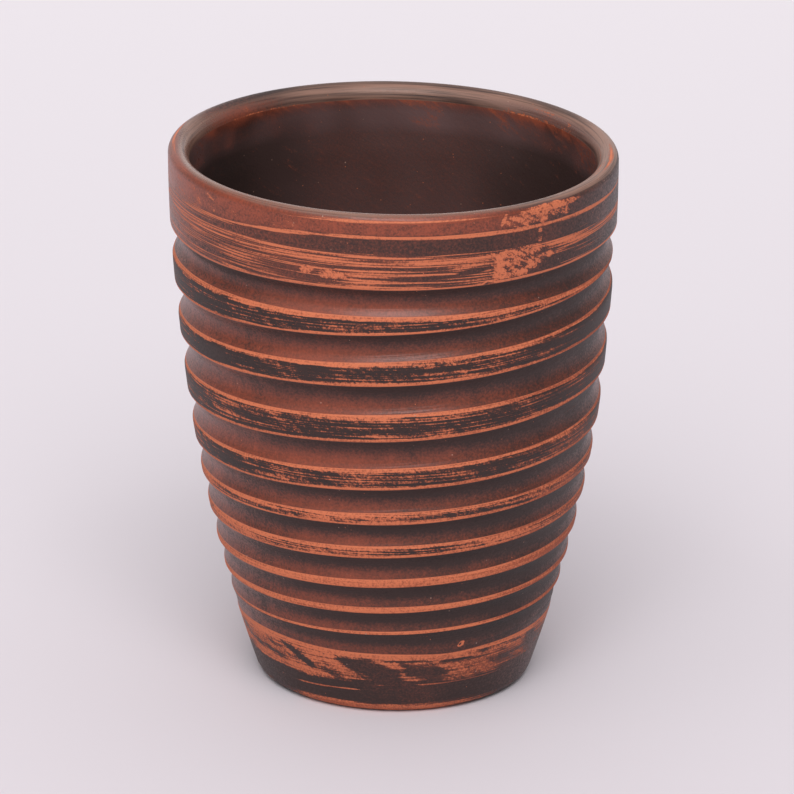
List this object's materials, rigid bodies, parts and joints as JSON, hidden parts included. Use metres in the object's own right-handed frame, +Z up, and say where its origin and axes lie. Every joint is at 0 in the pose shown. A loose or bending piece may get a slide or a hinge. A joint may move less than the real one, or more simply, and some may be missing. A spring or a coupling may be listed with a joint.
{
  "type": "clay tumbler",
  "caption": "Tapering handleless clay tumbler with a flat foot, a rounded lip and a round-bottomed groove that climbs its outside in a helix.",
  "frame": {"origin": "middle of the flat foot, on the surface that the tumbler stands on", "axes": "+Z up along the tumbler's axis towards the open lip; -Y is the side that faces the viewer"},
  "size_m": [0.0814, 0.0814, 0.1],
  "materials": {
    "fired_clay": "satin, smoked brown-black clay, rubbed through to orange clay on the raised edges"
  },
  "bodies": {
    "root": {"tumbler": "fired_clay"}
  },
  "joints": []
}
